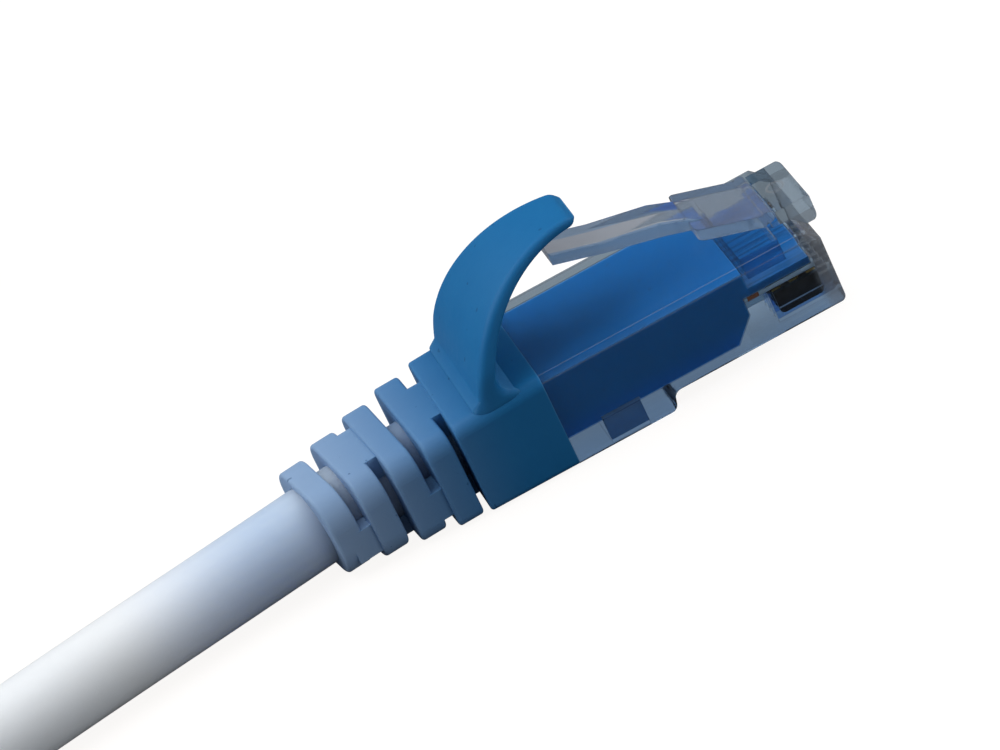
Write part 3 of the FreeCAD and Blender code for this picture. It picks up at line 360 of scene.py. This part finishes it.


# Boots. Each is one moulding of soft, rubbery PVC: a block, four rings joined by alternating
# bridges, and the core that fills the housing and ends in a flat tongue over the wires. Dark
# streaks of painted shade from the wires lie on the tongue, and painted highlights lie along the
# core's upper edges and along the boot's edges.

HOUSING_LENGTH = 22.3
TONGUE_REAR = 6.2
CORE_HALF_WIDTH = 5.15
CORE_TOP = 7.25
CORE_EDGE_WIDTH = 0.12
CORE_EDGE_HEIGHT = 0.15
CORE_HIGHLIGHT_SHARE = 0.5
BLOCK_EDGE_WIDTH = 0.2
BOOT_EDGE_HIGHLIGHT_SHARE = 0.3
STREAKS_ALONG = 0.08
STREAKS_ACROSS = 2.2
WIRE_SHADE_SHARE = 0.75
SPECK_THRESHOLD = 0.83
SPECK_SHARE = 0.5
BOOT_BLUE = srgb(30, 111, 168)
BOOT_DEEP = srgb(20, 103, 160)
TAIL_PALE = srgb(140, 167, 201)
WIRE_SHADE_AND_SPECK_BLUE = srgb(16, 66, 110)
EDGE_HIGHLIGHT_BLUE = srgb(92, 152, 205)
rubbers = {}
for prefix in PLUGS:
    rubber = Finish(prefix + "boot_rubber", Specular_IOR_Level=0.15, Subsurface_Weight=0.25,
                    Subsurface_Radius=(1.0, 1.0, 1.0), Subsurface_Scale=1.5 * MM)
    back = along(rubber, prefix, BACKWARD)
    side = along(rubber, prefix, SIDEWAYS)
    level = along(rubber, prefix, UPWARD)
    faded = rubber.step(back, FADE_START, FADE_END)
    clouded = rubber.blend(rubber.noise(4.0), BOOT_DEEP, BOOT_BLUE)
    # Painted shade: dark streaks along the tongue stand in for the wires' shade. The small specks
    # share their blue.
    stretched_place = rubber.node("ShaderNodeCombineXYZ", {},
                       {"X": STREAKS_ALONG * back, "Y": STREAKS_ACROSS * side})
    wire_shade_streaks = rubber.node("ShaderNodeTexNoise", {}, {"Vector": stretched_place, "Scale": 1.0, "Detail": 2.0})
    wire_shade_on_tongue = (back < TONGUE_REAR) * rubber.step(wire_shade_streaks, 0.42, 0.62)
    specks = rubber.noise(0.5, detail=0.0) > SPECK_THRESHOLD
    # Painted highlight: a pale blue line along the core's upper edges.
    by_side = abs(side) > CORE_HALF_WIDTH - CORE_EDGE_WIDTH
    core_edge_highlight = (back < HOUSING_LENGTH) * by_side * (level > CORE_TOP - CORE_EDGE_HEIGHT)
    skin = rubber.blend(faded, clouded, TAIL_PALE)
    skin = rubber.blend(WIRE_SHADE_SHARE * wire_shade_on_tongue, skin, WIRE_SHADE_AND_SPECK_BLUE)
    skin = rubber.blend(CORE_HIGHLIGHT_SHARE * core_edge_highlight, skin, EDGE_HIGHLIGHT_BLUE)
    # Painted highlight: the boot's edges are made a lighter blue.
    skin = rubber.blend(BOOT_EDGE_HIGHLIGHT_SHARE * rubber.edges(BLOCK_EDGE_WIDTH), skin, EDGE_HIGHLIGHT_BLUE)
    rubber.set(
        Base_Color=rubber.blend(SPECK_SHARE * specks, skin, WIRE_SHADE_AND_SPECK_BLUE),
        Roughness=0.42 + 0.14 * rubber.noise(0.8))
    rubber.relief(rubber.noise(0.12) + 2 * rubber.noise(1.5), depth=0.006)
    rubber.dress(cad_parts[prefix + "boot"])
    rubbers[prefix] = rubber


# Hooks. Each arches from the boot's block over the latch, keeps it from snagging, and presses it
# when a finger pushes. It belongs to the boot's moulding, and its foot runs into the block in soft
# hollows.

HOOK_OUTER_BACK = 16.3
HOOK_OUTER_LEVEL = 5.3
HOOK_OUTER_RADIUS = 11.0
HOOK_INNER_BACK = 16.03
HOOK_INNER_LEVEL = 5.747
HOOK_INNER_RADIUS = 9.77
HOOK_FOOT_BACK = 26.19
HOOK_WIDTHS = ((HOOK_FOOT_BACK, 11.3), (21.0, 7.4), (14.8, 4.4))
HOOK_FOOT_ANGLE = 9.0
HOOK_TIP_ANGLE = 97.8
HOOK_STEPS = 36
TIP_ROUND = 0.8
TIP_STEPS = 7
OUTER_EDGE_ROUND = 0.55
INNER_EDGE_ROUND = 0.35
LARGEST_ROUND_SHARE = 0.48
LEAST_HALF_THICKNESS = 0.05
EDGE_STEPS = 5
BLOCK_TOP = 8.0
BLOCK_TOP_ROUND = 1.0
BLOCK_HALF_FLAT = 4.85
INNER_HOLLOW = 1.9
OUTER_HOLLOW = 0.5
BEND_START = 8.1
BEND_END = 10.6


def hook_width(back):
    """The hook's width at a place behind the nose, on the parabola through three widths."""
    back = min(back, HOOK_FOOT_BACK)
    width = 0.0
    for place, value in HOOK_WIDTHS:
        share = 1.0
        for other, _ in HOOK_WIDTHS:
            if other != place:
                share *= (back - other) / (place - other)
        width += value * share
    return width


def hollow(radius, level, across):
    """How far a hollow of this radius stands out from the hook at a level above the block."""
    past_flat = min(max(abs(across) - BLOCK_HALF_FLAT, 0.0), BLOCK_TOP_ROUND)
    top = BLOCK_TOP - BLOCK_TOP_ROUND + math.sqrt(BLOCK_TOP_ROUND ** 2 - past_flat ** 2)
    height = min(max(level - top, 0.0), radius)
    return radius - math.sqrt(radius ** 2 - (radius - height) ** 2)


def hook_ring(prefix, angle, to_tip):
    """The rounded section of the hook at an angle of its arc, this far before its tip."""
    inset = TIP_ROUND - math.sqrt(TIP_ROUND ** 2 - (TIP_ROUND - min(to_tip, TIP_ROUND)) ** 2)
    outer_back = HOOK_OUTER_BACK + HOOK_OUTER_RADIUS * math.cos(angle)
    outer_level = HOOK_OUTER_LEVEL + HOOK_OUTER_RADIUS * math.sin(angle)
    inner_back = HOOK_INNER_BACK + HOOK_INNER_RADIUS * math.cos(angle)
    inner_level = HOOK_INNER_LEVEL + HOOK_INNER_RADIUS * math.sin(angle)
    half = hook_width(outer_back) / 2 - inset
    thickness = math.hypot(outer_back - inner_back, outer_level - inner_level)
    pinch = min(inset, thickness / 2 - LEAST_HALF_THICKNESS) / thickness
    largest = LARGEST_ROUND_SHARE * thickness * (1 - 2 * pinch)
    ring = []
    for side, outer in ((1, False), (1, True), (-1, True), (-1, False)):
        radius = min(OUTER_EDGE_ROUND if outer else INNER_EDGE_ROUND, largest)
        turns = range(EDGE_STEPS + 1)
        if (side > 0) != outer:
            turns = reversed(turns)
        for step in turns:
            turn = math.pi / 2 * step / EDGE_STEPS
            across = side * (half - radius + radius * math.cos(turn))
            depth = (radius - radius * math.sin(turn)) / thickness + pinch
            share = 1 - depth if outer else depth
            level = inner_level + (outer_level - inner_level) * share
            back = inner_back + (outer_back - inner_back) * share
            back += share * hollow(OUTER_HOLLOW, level, across)
            back -= (1 - share) * hollow(INNER_HOLLOW, level, across)
            ring.append(plug_point(prefix, back, across, level))
    return ring


def hook_rings(prefix):
    """Sections from the foot to the tip, closer together where the tip is rounded."""
    foot = math.radians(HOOK_FOOT_ANGLE)
    tip = math.radians(HOOK_TIP_ANGLE)
    straight = tip - TIP_ROUND / HOOK_OUTER_RADIUS
    rings = []
    for step in range(HOOK_STEPS):
        angle = foot + (straight - foot) * step / HOOK_STEPS
        rings.append(hook_ring(prefix, angle, TIP_ROUND))
    for step in range(TIP_STEPS + 1):
        to_tip = TIP_ROUND * (1 - math.sin(math.pi / 2 * step / TIP_STEPS))
        rings.append(hook_ring(prefix, tip - to_tip / HOOK_OUTER_RADIUS, to_tip))
    return rings


def skin_over(name, rings):
    """A closed mesh through rings of points, smooth all over."""
    count = len(rings[0])
    points = [point for ring in rings for point in ring]
    faces = [tuple(range(count)), tuple(range(len(points) - count, len(points)))]
    for low in range(0, len(points) - count, count):
        for step in range(count):
            after = (step + 1) % count
            faces.append((low + step, low + after, low + count + after, low + count + step))
    mesh = bpy.data.meshes.new(name)
    mesh.from_pydata(points, [], faces)
    builder = bmesh.new()
    builder.from_mesh(mesh)
    bmesh.ops.recalc_face_normals(builder, faces=builder.faces)
    builder.to_mesh(mesh)
    builder.free()
    mesh.shade_smooth()
    piece = bpy.data.objects.new(name, mesh)
    bpy.context.scene.collection.objects.link(piece)
    return piece


for prefix, body in (("", "near_hook"), ("far_", "far_hook")):
    hook = skin_over(prefix + "moulded_hook", hook_rings(prefix))
    rubbers[prefix].dress(hook)
    plug_point(prefix, HOOK_FOOT_BACK, 0, BEND_START)
    plug_point(prefix, HOOK_FOOT_BACK, 0, BEND_END)
    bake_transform(hook)
    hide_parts(prefix + "boot_hook")


# Housings and latch levers. Each pair is one injection moulding of clear polycarbonate. Blue
# reflected from the boot's core is painted along its foot and on its lever's sides, and painted
# shade darkens its edges. The nose is slightly frosted, lines of painted highlight run along the
# upper edges, and an ejector pin has left its ring on the block that carries the lever.

HOUSING_HEIGHT = 8.0
NOSE_BEVEL = 1.1
RIBS_START = 0.1
RIB_PITCH = 1.02
RIB_SHADE = 0.6
FROSTED_NOSE = 1.6
NOSE_FROST = 0.4
HIGHLIGHT_LINES = ((5.38, 8.0), (5.84, 7.54))
HIGHLIGHT_HALF_WIDTH = 0.05
HIGHLIGHT_LINE_SHARE = 0.3
RING_BACK = 0.7
RING_LEAST_LEVEL = 9.0
RING_RADIUS = 0.62
RING_HALF_WIDTH = 0.09
RING_FROST = 0.28
LEVER_FROST = 0.12
FOOT_REFLECTION_START = 1.0
FOOT_REFLECTION_END = 4.2
EDGE_SHADE_WIDTH = 0.14
HOUSING_EDGE_SHADE_SHARE = 0.5
LEVER_EDGE_SHADE_SHARE = 0.85
SHADOW_TINT = (0.94, 0.95, 0.96, 1.0)
HOUSING_TINT = srgb(182, 204, 221)
HOUSING_FOOT_REFLECTED_BLUE = srgb(160, 202, 250)
LEVER_TINT = srgb(202, 209, 220)
LEVER_SIDE_REFLECTED_BLUE = srgb(132, 176, 226)
EDGE_SHADE = srgb(84, 92, 108)
FROST_GREY = srgb(146, 147, 150)


def clear_plastic(name, roughness, bending, clearness):
    """Clear plastic with flow lines along its length. Bending is its index of refraction."""
    clear = Finish(name, Transmission_Weight=clearness, IOR=bending, Coat_Weight=0.25,
                   Coat_Roughness=0.06)
    clear.set(Roughness=roughness + 0.06 * clear.noise(1.5))
    stretched_place = clear.node("ShaderNodeVectorMath", {"operation": "MULTIPLY"},
                      {0: clear.place(), 1: (0.12, 1.0, 1.0)})
    clear.relief(clear.noise(0.7, place=stretched_place), depth=0.02)
    return clear


def tint_and_shade_edges(clear, colour, edge_shade_share, dark_lines=0.0):
    """Tints the plastic, and paints shade along its edges and on darker lines."""
    # Painted shade: the edges and the given lines darken towards a grey blue.
    dark = clear.either(edge_shade_share * clear.edges(EDGE_SHADE_WIDTH), dark_lines)
    clear.set(Base_Color=clear.blend(dark, colour, EDGE_SHADE))


def frost(clear, share):
    """Frosts a share of the surface, and lets lamp light straight through on to what lies inside."""
    shadow = clear.node("ShaderNodeLightPath", {}, {}, "Is Shadow Ray")
    frosted = clear.node("ShaderNodeBsdfDiffuse", {}, {"Color": FROST_GREY})
    through = clear.node("ShaderNodeBsdfTransparent", {}, {"Color": SHADOW_TINT})
    glass = Channel(clear, clear.shader.outputs[0])
    seen = clear.node("ShaderNodeMixShader", {}, {0: share, 1: glass, 2: frosted})
    mixed = clear.node("ShaderNodeMixShader", {}, {0: shadow, 1: seen, 2: through})
    clear.tree.links.new(mixed.link, clear.tree.nodes["Material Output"].inputs["Surface"])


def facing_sideways(finish, prefix):
    """1 on the faces that look to a plug's sides, 0 on those that look along it or up."""
    return abs(finish.agreement(finish.facing(), plug_axis(prefix, SIDEWAYS)))


for prefix in PLUGS:
    shell = clear_plastic(prefix + "clear_polycarbonate", 0.06, bending=1.1, clearness=1.0)
    back = along(shell, prefix, BACKWARD)
    side = abs(along(shell, prefix, SIDEWAYS))
    level = along(shell, prefix, UPWARD)
    rows = shell.node("ShaderNodeMath", {"operation": "SINE"}, {0: side * (2 * math.pi / RIB_PITCH)})
    on_bevel = (back < NOSE_BEVEL) * (back > RIBS_START) * (level > HOUSING_HEIGHT - NOSE_BEVEL)
    ribs = shell.step(rows, 0.6, 0.9) * on_bevel * (level < HOUSING_HEIGHT)
    # Painted reflection: the housing turns the core's blue towards its foot.
    above_foot = shell.step(level, FOOT_REFLECTION_START, FOOT_REFLECTION_END)
    tint_and_reflected_blue = shell.blend(above_foot, HOUSING_FOOT_REFLECTED_BLUE, HOUSING_TINT)
    tint_and_shade_edges(shell, tint_and_reflected_blue, HOUSING_EDGE_SHADE_SHARE, RIB_SHADE * ribs)
    on_nose = (1 - shell.step(back, 0.5 * FROSTED_NOSE, FROSTED_NOSE)) * (level < HOUSING_HEIGHT)
    frost_and_highlights = NOSE_FROST * on_nose
    # Painted highlight: two thin pale lines along each long upper edge, drawn with the frosted grey.
    for line_side, line_level in HIGHLIGHT_LINES:
        by_side = abs(side - line_side) < HIGHLIGHT_HALF_WIDTH
        near_line = by_side * (abs(level - line_level) < HIGHLIGHT_HALF_WIDTH)
        frost_and_highlights = shell.either(frost_and_highlights, HIGHLIGHT_LINE_SHARE * near_line * (back > FROSTED_NOSE))
    from_pin = shell.node("ShaderNodeMath", {"operation": "SQRT"}, {
        0: side * side + (back - RING_BACK) * (back - RING_BACK)})
    on_ring = (abs(from_pin - RING_RADIUS) < RING_HALF_WIDTH) * (level > RING_LEAST_LEVEL)
    # The frosted grey here draws both the frosted nose and the painted highlight lines.
    frost(shell, shell.either(frost_and_highlights, RING_FROST * on_ring))
    shell.dress(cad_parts[prefix + "plug_housing"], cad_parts[prefix + "wire_guide"])

    lever = clear_plastic(prefix + "latch_polycarbonate", 0.07, bending=1.12, clearness=0.94)
    # Painted reflection: the lever's side faces take the core's blue.
    on_side = facing_sideways(lever, prefix) > 0.5
    tint_and_shade_edges(lever, lever.blend(on_side, LEVER_TINT, LEVER_SIDE_REFLECTED_BLUE), LEVER_EDGE_SHADE_SHARE)
    frost(lever, LEVER_FROST * lever.noise(2.0))
    lever.dress(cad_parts[prefix + "latch_lever"])


# Contacts. Eight stamped bronze blades, gold plated on their edges and bare on their flat sides,
# stand in their slots under the nose. A pale line is painted along each flat side.

PALE_LINE_LEVEL = 2.45
PALE_LINE_HALF_WIDTH = 0.06
GOLD_DEEP = srgb(206, 160, 78)
GOLD_BRIGHT = srgb(230, 192, 108)
BRONZE_DEEP = srgb(44, 35, 31)
BRONZE_BRIGHT = srgb(66, 52, 44)
PALE_LINE_COLOUR = srgb(196, 186, 178)
for prefix in PLUGS:
    blade = Finish(prefix + "gold_edged_bronze")
    flat_side = facing_sideways(blade, prefix) > 0.8
    gold = blade.blend(blade.noise(0.6), GOLD_DEEP, GOLD_BRIGHT)
    bronze = blade.blend(blade.noise(0.8), BRONZE_DEEP, BRONZE_BRIGHT)
    # A pale painted line runs along each flat side.
    pale_line = abs(along(blade, prefix, UPWARD) - PALE_LINE_LEVEL) < PALE_LINE_HALF_WIDTH
    bronze = blade.blend(pale_line, bronze, PALE_LINE_COLOUR)
    blade.set(
        Base_Color=blade.blend(flat_side, gold, bronze),
        Metallic=0.45 + 0.55 * flat_side,
        Roughness=0.26 + 0.2 * blade.noise(0.3))
    blade.relief(blade.noise(0.08), depth=0.004)
    blade.dress(*(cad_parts[f"{prefix}contact_{number}"] for number in range(1, 9)))


# Wires. Four twisted pairs in thin polyethylene insulation: in each pair one wire has a full
# colour, and the other is white with small marks of that colour.

PAIR_COLOURS = {
    "orange": srgb(196, 98, 38),
    "green": srgb(44, 118, 70),
    "blue": srgb(36, 82, 158),
    "brown": srgb(102, 66, 46),
}
INSULATION_WHITE = srgb(232, 235, 240)
MARK_SPACING = 6.4
CLOUD_SHADE = 0.86
for colour_name, colour in PAIR_COLOURS.items():
    full = Finish("insulation_" + colour_name, Roughness=0.35)
    shaded = [CLOUD_SHADE * part for part in colour[:3]] + [1.0]
    full.set(Base_Color=full.blend(full.noise(2.0), colour, shaded))
    full.relief(full.noise(0.3), depth=0.004)
    full.dress(*both_ends("wire_" + colour_name))
    striped = Finish("insulation_white_" + colour_name, Roughness=0.35)
    length = striped.node("ShaderNodeSeparateXYZ", {}, {"Vector": striped.place()}, "X")
    wave = striped.node("ShaderNodeMath", {"operation": "SINE"},
                        {0: length * (2 * math.pi / (MARK_SPACING * MM))})
    striped.set(Base_Color=striped.blend(wave > 0.9, INSULATION_WHITE, colour))
    striped.relief(striped.noise(0.3), depth=0.004)
    striped.dress(*both_ends("wire_white_" + colour_name))


# Pair separator and crimp bar. The separator is a white polyethylene cross in the jacket's
# mouth. The crimp bar belongs to the clear housing and is pressed up into the jacket.

SEPARATOR_GREY = srgb(214, 216, 218)
SEPARATOR_WHITE = srgb(232, 233, 232)
cross = Finish("separator_white", Roughness=0.45)
cross.set(Base_Color=cross.blend(cross.noise(1.0), SEPARATOR_GREY, SEPARATOR_WHITE))
cross.relief(cross.noise(0.3), depth=0.005)
cross.dress(*both_ends("pair_separator"))

# Painted shade: the clear crimp bar is coloured an opaque grey blue, as the shaded jacket shows
# through it.
CRIMP_DEEP = srgb(104, 122, 136)
CRIMP_PALE = srgb(120, 136, 148)
shaded_crimp = Finish("crimp_shade", Roughness=0.3)
shaded_crimp.set(Base_Color=shaded_crimp.blend(shaded_crimp.noise(1.0), CRIMP_DEEP, CRIMP_PALE))
shaded_crimp.relief(shaded_crimp.noise(0.5), depth=0.01)
shaded_crimp.dress(*both_ends("crimp_bar"))


# Floor. A plain sheet that shows white to the camera, apart from the soft shadow that the lead
# leaves on it. Through clear plastic it shows grey and in reflections dark, so that the plastic
# stands out from the white.

FLOOR_HALF = 3.0
FLOOR_DROP = 0.1
floor_data = bpy.data.meshes.new("floor")
floor_data.from_pydata(
    [(-FLOOR_HALF, -FLOOR_HALF, 0), (FLOOR_HALF, -FLOOR_HALF, 0),
     (FLOOR_HALF, FLOOR_HALF, 0), (-FLOOR_HALF, FLOOR_HALF, 0)], [], [(0, 1, 2, 3)])
floor = bpy.data.objects.new("floor", floor_data)
floor.location.z = -FLOOR_DROP * MM
bpy.context.scene.collection.objects.link(floor)
paper = Finish("white_floor", Roughness=0.9, Specular_IOR_Level=0.0)
paper.set(
    Base_Color=(0.14, 0.14, 0.145, 1.0),
    Emission_Color=(1.0, 0.985, 0.97, 1.0),
    Emission_Strength=paper.by_ray(camera=0.92, through=0.28, mirrored=0.02, other=0.02))
paper.dress(floor)


# World and lamps. A large soft lamp above and behind lights the tops, a weak one fills the front,
# another lights the nose and the contacts, and a dim room fills the rest. The background shows
# white to the camera, and darker through the plastic and mirrored in it.

world = bpy.data.worlds.new("studio")
bpy.context.scene.world = world
studio = Surface(world)
background = studio.tree.nodes["Background"]
background.inputs["Color"].default_value = (1.0, 1.0, 1.0, 1.0)
studio.put(background.inputs["Strength"],
           studio.by_ray(camera=1.0, through=0.36, mirrored=0.05, other=0.2))
LIT_PLACE = Vector((-0.01, 0.0, 0.004))


def soft_lamp(name, place, width, power):
    """A square lamp at a place in metres that shines towards the near plug."""
    data = bpy.data.lights.new(name, "AREA")
    data.size = width
    data.energy = power
    lamp = bpy.data.objects.new(name, data)
    bpy.context.scene.collection.objects.link(lamp)
    lamp.location = place
    lamp.rotation_euler = (LIT_PLACE - Vector(place)).to_track_quat("-Z", "Y").to_euler()


soft_lamp("key_above", (-0.40, 0.14, 0.66), width=0.9, power=6.2)
soft_lamp("fill_front", (0.5, -0.6, 0.35), width=0.4, power=1.0)
soft_lamp("fill_nose", (0.5, 0.12, 0.45), width=0.5, power=1.8)

bpy.context.scene.view_settings.view_transform = "Standard"
